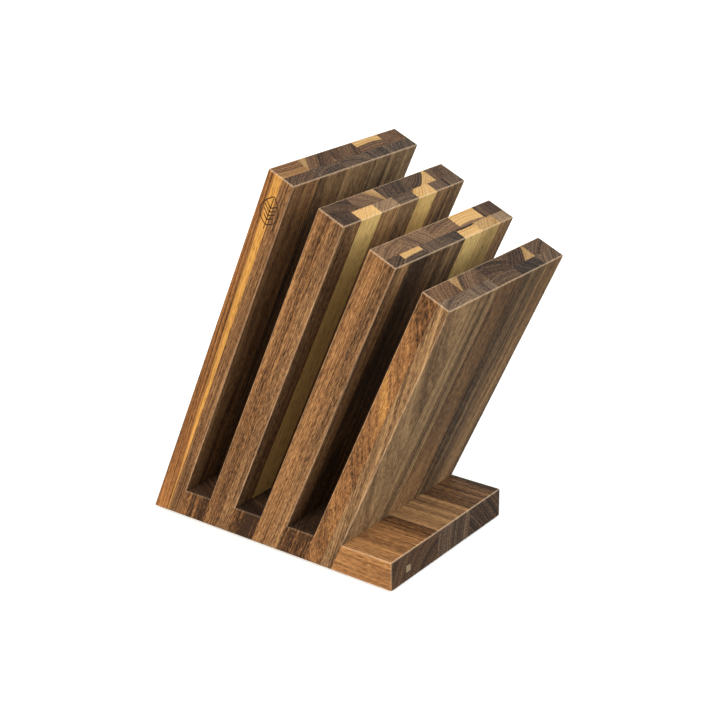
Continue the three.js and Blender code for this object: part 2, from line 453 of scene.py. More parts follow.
def growth_rings(n, radius, seed, spacing):
    """How far through its year the wood at a radius is, and that year's own random number."""
    drift = n.out("ShaderNodeTexNoise", {
        "W": n.onto(radius, 0.09, seed), "Detail": 1.0}, noise_dimensions="1D")
    years = n.onto(drift, 2.2, n.over(radius, spacing))
    number = n.plus(n.maths("FLOOR", years), seed)
    chance = n.out("ShaderNodeTexWhiteNoise", {"W": number}, noise_dimensions="1D")
    return n.maths("FRACT", years), chance


def pore_pattern(n, log, year):
    """Long open pores, larger in the early part of each year's growth."""
    cells = n.put("ShaderNodeTexVoronoi", {"Vector": n.stretched(log, PORES), "Scale": 1.0})
    size = n.ramped(year, 0.15, 0.75, 0.36, 0.2)
    return n.ramped(n.minus(size, cells.outputs["Distance"]), 0.0, 0.08)


def streak_pattern(n, radius, fibre, end_grain):
    """A dark or golden streak at its own radius, and the dark threads along its frayed edges."""
    aside = n.about_half(fibre, 3.0, n.minus(radius, n.attribute("streak_at")))
    widths = n.over(n.maths("ABSOLUTE", aside), n.attribute("streak_width"))
    strength = n.times(n.attribute("streak"), n.onto(end_grain, -0.8, 1.0))
    streak = n.times(n.ramped(widths, 0.35, 1.2, 1.0, 0.0), strength)
    thread = n.times(n.ramped(widths, 1.05, 1.2), n.ramped(widths, 1.25, 1.45, 1.0, 0.0))
    return streak, n.times(thread, n.maths("ABSOLUTE", strength))


def sapwood_colour(n, look, fibre, dashes, late, end_grain):
    """The pale outer wood, with its rings stronger on the end grain."""
    tone = n.about_half(dashes, 0.5, n.about_half(fibre, 1.0, 0.94))
    colour = n.tinted((*look.sapwood, 1), tone)
    colour = n.tinted(colour, SAP_END_TINT, end_grain)
    return n.tinted(colour, SAP_RING_TINT, n.times(late, n.onto(end_grain, 0.4, 0.5)))


def walnut(look):
    """Heartwood, sapwood, rings, streaks and pores, all laid out round each piece's own pith."""
    material, n, shader = new_material("Oiled walnut")
    log = n.attribute("log", "Vector")
    seed, sap, pale, shade, warmth, fleck, contrast, end, end_grain, arris = (
        n.attribute(name) for name in ("seed", "sap", "pale", "shade", "warmth", "fleck", "bands",
                                       "end", "end_grain", "arris"))
    offset = n.stretched(seed, SEED_STEP)
    face_grain = n.onto(end_grain, -0.5, 1.0)

    radius = ring_radius(n, log, offset)
    year, chance = growth_rings(n, radius, seed, look.ring_spacing)
    late = n.times(n.ramped(year, 0.3, 0.9), n.ramped(year, 0.92, 1.0, 1.0, 0.0))
    trunk = n.vector(n.times(radius, BAND_ACROSS), seed, n.times(n.part(log, 2), BAND_ALONG))
    bands = n.noise(trunk, detail=4.0, roughness=0.62)
    fibre = n.noise(n.stretched(log, FIBRES, offset), detail=4.0, roughness=0.7)
    dashes = n.noise(n.stretched(log, DASHES, offset), roughness=0.65)
    pores = pore_pattern(n, log, year)
    streak, thread = streak_pattern(n, radius, fibre, end_grain)

    # The heartwood's place on its ramp from dark to light.
    tone = n.about_half(bands, n.times(contrast, BAND_CONTRAST), 0.5)
    tone = n.onto(streak, STREAK_LIFT, tone)
    tone = n.onto(thread, -THREAD_DROP, tone)
    tone = n.about_half(tone, face_grain, 0.5)
    late_drop = n.onto(end_grain, LATE_DROP_AT_END, LATE_DROP)
    tone = n.minus(tone, n.times(late, late_drop))
    tone = n.about_half(fibre, FIBRE_CONTRAST, tone)
    tone = n.about_half(dashes, n.times(n.times(fleck, face_grain), DASH_CONTRAST), tone)
    tone = n.about_half(chance, YEAR_CONTRAST, tone)
    tone = n.onto(n.onto(end, end_grain, shade), SHADE_STEP, tone)
    ramp = n.put("ShaderNodeValToRGB", [tone])
    stops = ramp.color_ramp.elements
    stops.new(RAMP[1])
    for stop, position, colour in zip(stops, RAMP, (look.dark, look.middle, look.light)):
        stop.position, stop.color = position, (*colour, 1)
    warm, cool = (n.tinted(ramp.outputs[0], tint) for tint in (WARM, COOL))
    heart = n.blended(n.ramped(warmth, -1.0, 1.0, smooth=False), cool, warm)
    gold = n.tinted((*look.gold, 1), n.about_half(fibre, 2.0, 1.0))
    heart = n.blended(n.maths("MAXIMUM", streak, 0.0), heart, gold)
    heart = n.tinted(heart, (*look.end_tint, 1), end_grain)

    # Sapwood starts beyond a radius, over about a millimetre.
    in_sap = n.times(n.ramped(n.minus(radius, sap), -0.4, 0.4), pale)
    wood = n.blended(in_sap, heart, sapwood_colour(n, look, fibre, dashes, late, end_grain))
    wood = n.tinted(wood, PORE_TINT, n.times(pores, 0.7))
    # The arrises lighter: partly pale sanded wood, partly a painted highlight.
    wear_and_highlight = n.times(arris, n.ramped(fibre, 0.3, 0.65, 0.25, 0.6))
    rough = n.onto(end_grain, 0.10, n.onto(pores, 0.2, look.roughness))
    n.fill(shader, {
        "Base Color": n.blended(wear_and_highlight, wood, WEAR_AND_HIGHLIGHT_COLOUR),
        "Specular IOR Level": look.gloss,
        "Roughness": n.about_half(fibre, 0.15, rough),
        "Normal": n.bumped(n.minus(n.times(fibre, 0.35), pores), 0.35, 0.12 * MM)})
    return material


# Where a piece grew in its log. "towards" is the way to the pith in the piece's end section, in
# degrees: 0 to the far side, 90 to the front, 180 to the near side and 270 to the back. "pith" is
# how far off it lies, in millimetres. "shade" runs from dark, -1, to light, 1, and "warmth" from
# grey, -1, to orange, 1. "sap" is how far beyond the piece's middle the sapwood starts, in
# millimetres, and "pale" how pale it is. "end" is how much lighter, 1, or darker, -1, the end
# grain is, and "bands" and "fleck" are how strong the long bands and the short dark flecks are.
# "rise" is how the pith runs out of line along the piece, in degrees. A streak lies "streak_at"
# millimetres beyond the middle, reaches "streak_width" to either side, and runs from dark, -1, to
# golden, 1.
Figure = namedtuple(
    "Figure",
    "towards pith shade warmth sap pale end bands fleck rise streak_at streak_width streak",
    defaults=(60, 0.0, 0.0, 99, 1.0, 0.0, 1.0, 1.0, 0.4, 0.0, 1.0, 0.0))

# The front layers' staves are greyer and cooler than the back layers: partly their own wood,
# partly a painted cool shade for their front faces in the slots and under the cool side light.
FIGURES = {
    "board_1_back_stave": (
        Figure(270, 70, 0.5, 0.95, fleck=0.7, rise=1.2, streak_at=6.8, streak_width=3.8,
               streak=0.75),
        Figure(40, 90, 0.1, 0.3, sap=8, pale=0.4, end=-0.15), Figure(30, 70, -0.3, 0.2),
        Figure(90, 120, 0.0, 0.2, sap=1.6, pale=0.75, end=-0.2),
        Figure(135, 60, 0.15, 0.2, end=-0.2)),
    "board_1_front_stave": (
        Figure(60, end=-0.3, bands=0.8), Figure(80, 50, -0.3, -0.6),
        Figure(110, 30, 0.1, -0.7, end=-0.3), Figure(180, 80, 0.16, -0.95, end=-0.4),
        Figure(40, 60, 0.33, -0.95, end=-0.55)),
    "board_2_back_stave": (
        Figure(110, 80, 0.05, 0.15, end=-0.55, bands=0.8, fleck=1.2),
        Figure(135, 60, 0.15, sap=6.5, pale=0.45), Figure(25, 70, -0.5, -0.4),
        Figure(235, 40, -0.2, -0.3, sap=3.6, pale=0.75), Figure(20, 60, -0.1, -0.2)),
    "board_2_front_stave": (
        Figure(5, 90, -0.05, -0.2, end=-0.5, bands=0.8, fleck=1.3), Figure(45, sap=-30),
        Figure(60, 80, 0.5, -0.2, end=0.6), Figure(95, 50, -0.2, -0.7),
        Figure(225, 25, sap=-6, pale=0.85), Figure(0, 60, 0.15, -0.5, end=-0.2),
        Figure(30, 60, 0.0, -0.7)),
    "board_3_back_stave": (
        Figure(70, 80, 0.28, 0.15, end=0.1, bands=0.8, fleck=1.2), Figure(150, 50, 0.1, end=0.3),
        Figure(80, 60, 0.0, 0.1, end=0.2), Figure(90, 100, 0.5, sap=-2.9, pale=0.9),
        Figure(0, 60, -0.35, -0.2)),
    "board_3_front_stave": (
        Figure(60, 90, 0.16, -0.15, end=-0.4, bands=0.8, fleck=1.2),
        Figure(90, 100, -0.5, -0.5, sap=1.5, pale=0.85), Figure(0, 60, -0.35, -0.6, end=0.35),
        Figure(140, 40, -0.4, -0.8), Figure(270, 100, -0.5, sap=-2, pale=0.9),
        Figure(45, sap=-30, pale=0.55), Figure(0, 60, 0.2, -0.5, end=0.7)),
    "board_4_back_stave": (
        Figure(30, 60, 0.02, 0.45, bands=0.6, fleck=0.8, rise=-11, streak_at=4, streak_width=1.8,
               streak=0.3),
        Figure(40, 80, -0.1, sap=7.5, pale=0.45), Figure(100, 40, -0.5),
        Figure(225, 80, -0.45, sap=6.4, pale=0.5), Figure(60, 60, -0.2, -0.2)),
    "board_4_front_stave": (
        Figure(75, 60, 0.42, -0.6, bands=0.8, rise=-6, streak_at=2, streak=-0.5),
        Figure(180, 60, 0.15, -0.7), Figure(90, 40, -0.1, -0.25),
        Figure(140, 60, -0.1, -0.8, end=-0.5), Figure(45, 60, 0.1, -0.5)),
    "spacer": (
        Figure(60, 60, -0.35, 0.4, fleck=1.2), Figure(45, 60, -0.7, 0.4, fleck=1.2),
        Figure(120, 60, -0.7, 0.4, fleck=1.2)),
    "foot_stave": (
        Figure(40, 42, 0.9, 0.4, end=-1.15, bands=0.8, fleck=0.9, streak_at=-13, streak_width=20,
               streak=-1.0),
        Figure(10, 70, 0.45, -0.35, end=-0.6),
        Figure(140, 140, -0.45, -0.1, end=-0.15, bands=0.8)),
}


# ---------------- walnut pieces

def block_outline():
    """The block's side view: a comb of four boards on their base, as points in X and Z."""
    def corner(across, along):
        point = ACROSS * across + ALONG * along
        return point.x, point.z

    faces = {board: board_faces(board) for board in BOARDS}
    points = [on_plane(faces[1][0], UNDERSIDE)]
    for board in BOARDS:
        back, front, top = faces[board]
        points += [corner(back, top), corner(front, top)]
        if board == BOARDS[-1]:
            points.append(on_plane(front, FOOT_TOP))
        else:
            points += [on_plane(front, SLOT_FLOOR), on_plane(faces[board + 1][0], SLOT_FLOOR)]
    return points + [(FOOT_END, FOOT_TOP), (FOOT_END, UNDERSIDE)]


def plug_place():
    """The middle of the plug's face, low on the foot's end and towards the near side."""
    return Vector((FOOT_END, NEAR_SIDE + PLUG_IN, UNDERSIDE + PLUG_UP))


def hollows(shape):
    """Room for the magnets, dowels, pads and plug with a clearance, as one mesh to cut with."""
    clearance = shape.hollow_clearance
    bm = bmesh.new()
    for name in (*MAGNET_BARS, *DOWELS, *PADS):
        bm.from_mesh(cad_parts[name].data)
    bmesh.ops.remove_doubles(bm, verts=bm.verts, dist=0.001 * MM)
    bm.normal_update()
    places = [vertex.co + vertex.normal * vertex.calc_shell_factor() * clearance
              for vertex in bm.verts]
    for vertex, place in zip(bm.verts, places):
        vertex.co = place
    across, inwards = shape.plug_width + PLUG_ROOM, 2 * shape.plug_depth + clearance
    pocket = Matrix.Diagonal((inwards, across, across, 1.0))
    bmesh.ops.create_cube(bm, size=1.0, matrix=Matrix.Translation(plug_place()) @ pocket)
    return poured("hollows", bm)


def eased_comb(shape):
    """The whole block as one solid with every outer edge rounded."""
    bm = bmesh.new()
    arris = bm.faces.layers.float.new("arris")
    side = bm.faces.new([bm.verts.new((x, NEAR_SIDE, z)) for x, z in block_outline()])
    grown_side = bmesh.ops.extrude_face_region(bm, geom=[side])["geom"]
    for vertex in grown_side:
        if isinstance(vertex, bmesh.types.BMVert):
            vertex.co.y = FAR_SIDE
    bmesh.ops.recalc_face_normals(bm, faces=bm.faces)
    outer = [edge for edge in bm.edges if edge.calc_face_angle_signed() > 0]
    rounded = bmesh.ops.bevel(
        bm, geom=outer, offset=shape.arris_radius, offset_type="OFFSET",
        segments=shape.arris_steps, profile=0.5, affect="EDGES", clamp_overlap=False)
    bm.normal_update()
    slots_end = board_faces(BOARDS[-1])[1]
    for face in rounded["faces"]:
        middle = face.calc_center_median()
        in_slot = middle.z < SLOT_FLOOR + AT_SLOT and middle.dot(ACROSS) < slots_end - AT_SLOT
        # How much lighter each arris is: partly wear, partly a painted highlight, stronger on
        # faces turned up and fainter in the slots' shade.
        face[arris] = WEAR_IN_SHADED_SLOT if in_slot else WEAR_AND_HIGHLIGHT + PAINTED_TOP_HIGHLIGHT * max(face.normal.z, 0)
    return poured("eased_comb", bm)


def eased_blank(shape):
    """The eased block with its hollows cut out, from which the walnut pieces are sawn."""
    cutter = linked("hollows", hollows(shape))
    block = linked("block", eased_comb(shape))
    cut = block.modifiers.new("Cut", "BOOLEAN")
    cut.operation, cut.solver, cut.object = "DIFFERENCE", "EXACT", cutter
    evaluated = block.evaluated_get(bpy.context.evaluated_depsgraph_get())
    blank = bpy.data.meshes.new_from_object(evaluated)
    blank.name = "eased_blank"
    for helper in (block, cutter):
        bpy.data.objects.remove(helper)
    return blank


FIGURE_FIELDS = ("seed", "sap", "pale", "shade", "warmth", "streak_at", "streak_width", "streak",
                 "fleck", "bands", "end")


def label(field):
    return field.replace("_", " ").capitalize()


def sawing_tree(material):
    """Saws one piece out of the blank with a turned box, and stores where it grew in its log."""
    n, given, output = geometry_tree("Saw a piece", {
        "Low": "Vector", "High": "Vector", "Cell turn": "Float", "Grain turn": "Float",
        "Pith": "Vector", "Rise": "Vector", **{label(field): "Float" for field in FIGURE_FIELDS}})
    size = n.vectors("SUBTRACT", given["High"], given["Low"])
    middle = n.scaled(n.vectors("ADD", given["High"], given["Low"]), 0.5)
    box = n.put("GeometryNodeMeshCube", {"Size": size}).outputs["Mesh"]
    cell = n.transformed(box, n.turned(middle, given["Cell turn"]), given["Cell turn"])
    sawn = n.put("GeometryNodeMeshBoolean", operation="INTERSECT", solver="EXACT")
    for solid in (given["Geometry"], cell):
        n.fill(sawn, {"Mesh 2": solid})
    geometry = n.out("GeometryNodeMergeByDistance", {
        "Geometry": sawn.outputs["Mesh"], "Distance": 0.002 * MM})

    back_turn = n.times(given["Grain turn"], -1.0)
    place = n.turned(n.given("Position"), back_turn)
    from_pith = n.vectors("SUBTRACT", place, given["Pith"])
    drift = n.scaled(given["Rise"], n.part(from_pith, 2))
    log = n.scaled(n.vectors("SUBTRACT", from_pith, drift), 1 / MM)
    endways = n.maths("ABSOLUTE", n.part(n.turned(n.given("Normal"), back_turn), 2))
    end_grain = n.ramped(endways, 0.45, 0.85)

    stored = [("log", "FLOAT_VECTOR", "POINT", log), ("end_grain", "FLOAT", "FACE", end_grain)]
    stored += [(field, "FLOAT", "POINT", given[label(field)]) for field in FIGURE_FIELDS]
    for name, kind, domain, value in stored:
        geometry = n.out("GeometryNodeStoreNamedAttribute", {
            "Geometry": geometry, "Name": name, "Value": value},
            data_type=kind, domain=domain)
    rounded = n.put("GeometryNodeInputNamedAttribute", {"Name": "arris"}, data_type="FLOAT")
    smooth = n.out("GeometryNodeSetShadeSmooth", {
        "Geometry": geometry, "Selection": n.maths("GREATER_THAN", rounded.outputs[0], 0.1),
        "Shade Smooth": True}, domain="FACE")
    return finish_tree(n, smooth, material, output)


def saw(blank, tree, node, figure, seed, grain_turn):
    """One walnut piece: the blank inside the CAD node's own reach, with that figure."""
    low, high = leaning_box(node)
    if low.y < NEAR_SIDE + SPARE:
        low.y -= SPARE
    if high.y > FAR_SIDE - SPARE:
        high.y += SPARE
    low.z -= SPARE
    high.z += SPARE
    grain = Matrix.Rotation(-grain_turn, 3, "Y")
    middle = Vector([sum(reach(node, row)) / 2 for row in grain.row])
    way = math.radians(figure.towards)
    aim = Vector((math.sin(way), math.cos(way), 0))
    settings = {label(field): getattr(figure, field) for field in FIGURE_FIELDS if field != "seed"}
    settings.update({
        "Low": low, "High": high, "Cell turn": LEAN, "Grain turn": grain_turn, "Seed": seed,
        "Pith": middle + aim * figure.pith * MM, "Rise": aim * math.tan(math.radians(figure.rise)),
        "Sap": figure.pith + figure.sap, "Streak at": figure.pith + figure.streak_at})
    settle(grown("walnut_" + node, blank, tree, settings), node)


def saw_row(prefix, grain_turn, seed):
    """A row of pieces named with the prefix and a number."""
    blank = bpy.data.meshes["eased_blank"]
    tree = bpy.data.node_groups["Saw a piece"]
    for number, figure in enumerate(FIGURES[prefix], 1):
        saw(blank, tree, f"{prefix}_{number}", figure, seed + SEED_GAP * number, grain_turn)


class KNIFEBLOCK_OT_timber(bpy.types.Operator):
    """Make the walnut, the eased blank and the tree that saws pieces from it"""
    bl_idname = "knifeblock.timber"
    bl_label = "Timber"

    def execute(self, context):
        eased_blank(context.scene.knifeblock_shape)
        sawing_tree(walnut(context.scene.knifeblock_walnut))
        return {"FINISHED"}


class KNIFEBLOCK_OT_boards(bpy.types.Operator):
    """Saw both layers of staves of the four boards"""
    bl_idname = "knifeblock.boards"
    bl_label = "Boards"

    def execute(self, context):
        for board in BOARDS:
            seed = BOARD_SEEDS * board
            saw_row(f"board_{board}_back_stave", LEAN, seed)
            saw_row(f"board_{board}_front_stave", LEAN, seed + LAYER_SEEDS)
        return {"FINISHED"}


class KNIFEBLOCK_OT_base(bpy.types.Operator):
    """Saw the three spacers and the foot's staves, whose grain runs out to its end"""
    bl_idname = "knifeblock.base"
    bl_label = "Spacers and foot"

    def execute(self, context):
        saw_row("spacer", LEAN, SPACER_SEED)
        saw_row("foot_stave", math.pi / 2, FOOT_SEED)
        return {"FINISHED"}


# ---------------- magnets, dowels and pads

def plated_steel():
    """Dull nickel plate on the block magnets, faintly brushed and speckled."""
    material, n, shader = new_material("Nickel plate")
    place = n.object_place()
    brushed = n.noise(n.stretched(place, (9000, 9000, 300)), detail=3.0)
    speckle = n.noise(place, scale=700.0, detail=4.0, roughness=0.7)
    n.fill(shader, {
        "Base Color": n.blended(speckle, (0.46, 0.43, 0.37, 1), (0.68, 0.65, 0.59, 1)),
        "Metallic": 1.0, "Roughness": n.about_half(brushed, 0.5, 0.34),
        "Normal": n.bumped(brushed, 0.2, 0.02 * MM)})
    return material


def beech(name, darker, lighter):
    """Beech with short darker rays along the grain, for the dowels and the plug."""
    material, n, shader = new_material(name)
    along = n.attribute("along", "Vector")
    grain = n.noise(n.stretched(along, (1.6, 1.6, 0.08)), detail=4.0, roughness=0.6)
    rays = n.put("ShaderNodeTexVoronoi", {
        "Vector": n.stretched(along, (2.2, 2.2, 0.5)), "Scale": 1.0})
    ray = n.ramped(rays.outputs["Distance"], 0.1, 0.25, 1.0, 0.0)
    wood = n.blended(grain, (*darker, 1), (*lighter, 1))
    n.fill(shader, {
        "Base Color": n.tinted(wood, (0.6, 0.5, 0.45, 1), n.times(ray, 0.5)),
        "Roughness": n.about_half(grain, 0.3, 0.68),
        "Normal": n.bumped(grain, 0.3, 0.08 * MM)})
    return material


def black_rubber():
    """Matt rubber with a fine moulded grain and a little dust in it."""
    material, n, shader = new_material("Black rubber")
    place = n.object_place()
    grain = n.noise(place, scale=2600.0, roughness=0.6)
    dust = n.ramped(n.noise(place, scale=260.0, detail=5.0, roughness=0.7), 0.52, 0.75)
    n.fill(shader, {
        "Base Color": n.blended(
            n.times(dust, 0.4), (0.018, 0.018, 0.019, 1), (0.11, 0.10, 0.09, 1)),
        "Specular IOR Level": 0.35, "Roughness": n.about_half(grain, 0.3, 0.72),
        "Normal": n.bumped(grain, 0.4, 0.05 * MM)})
    return material


def magnet_block(size, chamfer):
    """One block magnet about the origin, with its edges broken."""
    bm = bmesh.new()
    bmesh.ops.create_cube(bm, size=1.0, matrix=Matrix.Diagonal((*size, 1.0)))
    bmesh.ops.bevel(bm, geom=bm.edges[:], offset=chamfer, offset_type="OFFSET", segments=2,
                    profile=0.5, affect="EDGES")
    return poured("magnet_block", bm)


def row_tree(material):
    """Repeats a block along a line and turns the whole row about the depth axis."""
    n, given, output = geometry_tree("Row of magnets", {
        "Start": "Vector", "Step": "Vector", "Count": "Int", "Turn": "Float"})
    line = n.out("GeometryNodeMeshLine", {
        "Count": given["Count"], "Start Location": given["Start"], "Offset": given["Step"]},
        mode="OFFSET", count_mode="TOTAL")
    row = n.out("GeometryNodeInstanceOnPoints", {
        "Points": line, "Instance": given["Geometry"]})
    return finish_tree(n, n.transformed(row, (0, 0, 0), given["Turn"]), material, output)


def ringed(name, rings, material):
    """A closed mesh skinned over rings of points, with a face across each end."""
    bm = bmesh.new()
    loops = [[bm.verts.new(point) for point in ring] for ring in rings]
    for lower, upper in zip(loops, loops[1:]):
        for index in range(len(lower)):
            following = (index + 1) % len(lower)
            bm.faces.new((lower[index], lower[following], upper[following], upper[index]))
    for loop in (loops[0], loops[-1]):
        bm.faces.new(loop)
    bmesh.ops.recalc_face_normals(bm, faces=bm.faces)
    mesh = poured(name, bm)
    mesh.materials.append(material)
    return linked(name, mesh)


def store_grain(piece, places):
    """Tells a beech piece where each of its points lies in its wood, in millimetres."""
    stored = piece.data.attributes.new("along", "FLOAT_VECTOR", "POINT")
    for entry, place in zip(stored.data, places):
        entry.vector = place


def fluted_dowel(node, flutes, flute_depth, chamfer, material):
    """A dowel along the boards' crossing direction, with shallow flutes and chamfered ends."""
    low, high = leaning_box(node)
    middle, radius = (low + high) / 2, (high.y - low.y) / 2
    points = flutes * 6
    rings, grain_places = [], []
    for at, inset in ((low.x, chamfer), (low.x + chamfer, 0), (high.x - chamfer, 0),
                      (high.x, chamfer)):
        ring = []
        for index in range(points):
            angle = math.tau * index / points
            out = radius - inset - flute_depth * (0.5 - 0.5 * math.cos(flutes * angle)) ** 2
            sideways, upwards = out * math.cos(angle), out * math.sin(angle)
            ring.append(ACROSS * at + DEPTHWISE * (middle.y + sideways)
                        + ALONG * (middle.z + upwards))
            grain_places.append((sideways / MM, upwards / MM, at / MM))
        rings.append(ring)
    piece = ringed(node.replace("foot_dowel", "fluted_dowel"), rings, material)
    store_grain(piece, grain_places)
    return piece


def square_plug(middle, width, depth, proud, material):
    """A square peg, narrower inside and just eased at its face, its grain along the foot's."""
    rings, grain_places = [], []
    for at, share in ((-depth, 0.9), (proud - 0.1 * MM, 1.0), (proud, 0.97)):
        for across, up in ((-1, -1), (1, -1), (1, 1), (-1, 1)):
            sideways, upwards = across * share * width / 2, up * share * width / 2
            rings.append(middle + Vector((at, sideways, upwards)))
            grain_places.append((sideways / MM, upwards / MM, at / MM))
    piece = ringed("square_plug", [rings[start:start + 4] for start in (0, 4, 8)], material)
    store_grain(piece, grain_places)
    return piece


# A pad's half section from the middle of its underside to the middle of its top, as shares of its
# radius and distances above its underside in millimetres. Two ring grooves keep it from slipping.
PAD_SECTION = (
    (0.26, 0.0), (0.36, 0.0), (0.40, 0.4), (0.50, 0.4), (0.54, 0.0), (0.64, 0.0), (0.68, 0.4),
    (0.78, 0.4), (0.82, 0.0), (0.90, 0.0), (0.96, 0.08), (0.99, 0.3), (1.0, 0.6), (1.0, 2.8),
    (0.97, 3.0))
PAD_STEPS = 48  # corners round a pad


def moulded_pad(node, material):
    """A round rubber pad with grooves underneath and a rounded lower edge."""
    low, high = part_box(node)
    middle, radius = (low + high) / 2, (high.x - low.x) / 2
    turns = [math.tau * step / PAD_STEPS for step in range(PAD_STEPS)]
    rings = [[(middle.x + radius * share * math.cos(turn),
               middle.y + radius * share * math.sin(turn), low.z + height * MM)
              for turn in turns] for share, height in PAD_SECTION]
    piece = ringed(node.replace("rubber_pad", "moulded_pad"), rings, material)
    for face in piece.data.polygons:
        face.use_smooth = abs(face.normal.z) < 0.95
    return piece


class KNIFEBLOCK_OT_magnets(bpy.types.Operator):
    """Lay a row of block magnets in each board's hollow"""
    bl_idname = "knifeblock.magnets"
    bl_label = "Magnets"

    def execute(self, context):
        shape = context.scene.knifeblock_shape
        tree = row_tree(plated_steel())
        lower, upper = reach(MAGNET_BARS[0], ALONG)
        pitch = (upper - lower) / shape.magnet_count
        for bar in MAGNET_BARS:
            low, high = leaning_box(bar)
            count = round((high.z - low.z) / pitch)
            step = (high.z - low.z) / count
            size = (high.x - low.x, high.y - low.y, step - shape.magnet_gap)
            start = Vector(((low.x + high.x) / 2, (low.y + high.y) / 2, low.z + step / 2))
            name = bar.replace("magnet_bar", "magnet_row")
            row = grown(name, magnet_block(size, MAGNET_CHAMFER), tree, {
                "Start": start, "Step": Vector((0, 0, step)), "Count": count, "Turn": LEAN})
            settle(row, bar)
        return {"FINISHED"}


class KNIFEBLOCK_OT_dowels(bpy.types.Operator):
    """Make the two fluted dowels that pin the foot to the front board, and the foot's plug"""
    bl_idname = "knifeblock.dowels"
    bl_label = "Dowels"

    def execute(self, context):
        shape = context.scene.knifeblock_shape
        wood = beech("Dry beech", (0.50, 0.30, 0.15), (0.74, 0.52, 0.31))
        oiled = beech("Oiled beech", (0.10, 0.062, 0.030), (0.36, 0.255, 0.135))
        for node in DOWELS:
            dowel = fluted_dowel(node, shape.dowel_flutes, FLUTE_DEPTH, DOWEL_CHAMFER, wood)
            settle(dowel, node)
        plug = square_plug(plug_place(), shape.plug_width, shape.plug_depth, PROUD, oiled)
        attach(plug, BODY)
        return {"FINISHED"}


class KNIFEBLOCK_OT_pads(bpy.types.Operator):
    """Mould the four rubber pads under the block"""
    bl_idname = "knifeblock.pads"
    bl_label = "Pads"

    def execute(self, context):
        rubber = black_rubber()
        for node in PADS:
            settle(moulded_pad(node, rubber), node)
        return {"FINISHED"}


# ---------------- burnt leaf

def charred_wood():
    """Scorched brown lines, unevenly burnt."""
    material, n, shader = new_material("Charred wood")
    burn = n.noise(n.object_place(), scale=900.0, detail=4.0, roughness=0.7)
    n.fill(shader, {
        "Base Color": n.blended(
            n.ramped(burn, 0.35, 0.7), (0.022, 0.011, 0.006, 1), (0.085, 0.040, 0.016, 1)),
        "Specular IOR Level": 0.1, "Roughness": n.about_half(burn, 0.2, 0.85),
        "Normal": n.bumped(burn, 0.5, 0.1 * MM)})
    return material


def half_width(n, height, length, width):
    """How far the leaf reaches sideways at a height above its middle."""
    share = n.over(height, n.times(length, 0.5))
    round_part = n.maths("MAXIMUM", n.minus(1.0, n.times(share, share)), 0.0)
    belly = n.onto(share, -0.28, 1.0)
    return n.times(n.times(n.maths("POWER", round_part, 0.8), belly), n.times(width, 0.5))


# Heights in the leaf above its middle, as shares of its length.
STALK_FOOT, MIDRIB_TIP = -0.68, 0.44
FIRST_VEIN, VEINED = -0.33, 0.56  # the lowest pair of veins, and how much the pairs take up
VEIN_SLOPE, VEIN_REACH = 0.75, 0.66  # how steep a vein is, and how near it comes to the outline


def leaf_tree(material):
    """A leaf drawn in ribbons: its outline, its midrib with a stalk, and pairs of side veins."""
    n, given, output = geometry_tree("Burnt leaf", {
        "Length": "Float", "Width": "Float", "Line": "Float", "Depth": "Float", "Veins": "Int",
        "Place": "Vector", "Turn": "Float"})
    length, width = given["Length"], given["Width"]
    stalk, tip, first = (
        n.vector(0, 0, n.times(length, share)) for share in (STALK_FOOT, MIDRIB_TIP, FIRST_VEIN))

    circle = n.put("GeometryNodeCurvePrimitiveCircle", {"Resolution": 72, "Radius": 1.0})
    round_place = n.given("Position")
    height = n.times(n.part(round_place, 0), n.times(length, 0.5))
    side = n.maths("SIGN", n.part(round_place, 1))
    sideways = n.times(side, half_width(n, height, length, width))
    outline = n.put("GeometryNodeSetPosition", {
        "Geometry": circle.outputs[0], "Position": n.vector(sideways, 0, height)})
    midrib = n.put("GeometryNodeCurvePrimitiveLine", {"Start": stalk, "End": tip})
    step = n.vector(0, 0, n.over(n.times(length, VEINED), given["Veins"]))
    roots = n.out("GeometryNodeMeshLine", {
        "Count": given["Veins"], "Start Location": first, "Offset": step},
        mode="OFFSET", count_mode="TOTAL")
    vein_reach = n.times(half_width(n, n.part(n.given("Position"), 2), length, width), VEIN_REACH)
    pairs = []
    for way in (-1, 1):
        vein = n.out("GeometryNodeCurvePrimitiveLine", {"End": (way, 0, VEIN_SLOPE)})
        pairs.append(n.put("GeometryNodeInstanceOnPoints", {
            "Points": roots, "Instance": vein, "Scale": vein_reach}))
    drawn = n.put("GeometryNodeJoinGeometry")
    for part in (outline, midrib, *pairs):
        n.fill(drawn, [part.outputs[0]])
    lines = n.out("GeometryNodeRealizeInstances", [drawn.outputs[0]])
    level = n.put("GeometryNodeSetCurveNormal", {"Curve": lines, "Normal": (0, 1, 0)}, mode="FREE")
    pen = n.out("GeometryNodeCurvePrimitiveQuadrilateral", {
        "Width": given["Depth"], "Height": given["Line"]})
    ribbons = n.out("GeometryNodeCurveToMesh", {
        "Curve": level.outputs[0], "Profile Curve": pen, "Fill Caps": True})
    return finish_tree(n, n.transformed(ribbons, given["Place"], given["Turn"]), material, output)


class KNIFEBLOCK_OT_leaf(bpy.types.Operator):
    """Burn a small plain leaf into the near side of the tallest board, below its top"""
    bl_idname = "knifeblock.leaf"
    bl_label = "Burnt leaf"

    def execute(self, context):
        shape = context.scene.knifeblock_shape
        back, front, top = board_faces(1)
        middle = ACROSS * ((back + front) / 2) + ALONG * (top - shape.leaf_drop)
        middle.y = NEAR_SIDE + LEAF_DEPTH / 2 - PROUD
        piece = grown("burnt_leaf", bpy.data.meshes.new("nothing"), leaf_tree(charred_wood()), {
            "Length": shape.leaf_length, "Width": shape.leaf_width, "Line": shape.leaf_line,
            "Depth": LEAF_DEPTH, "Veins": shape.leaf_veins, "Place": middle, "Turn": LEAN})
        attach(piece, BODY)
        return {"FINISHED"}


# ---------------- stage

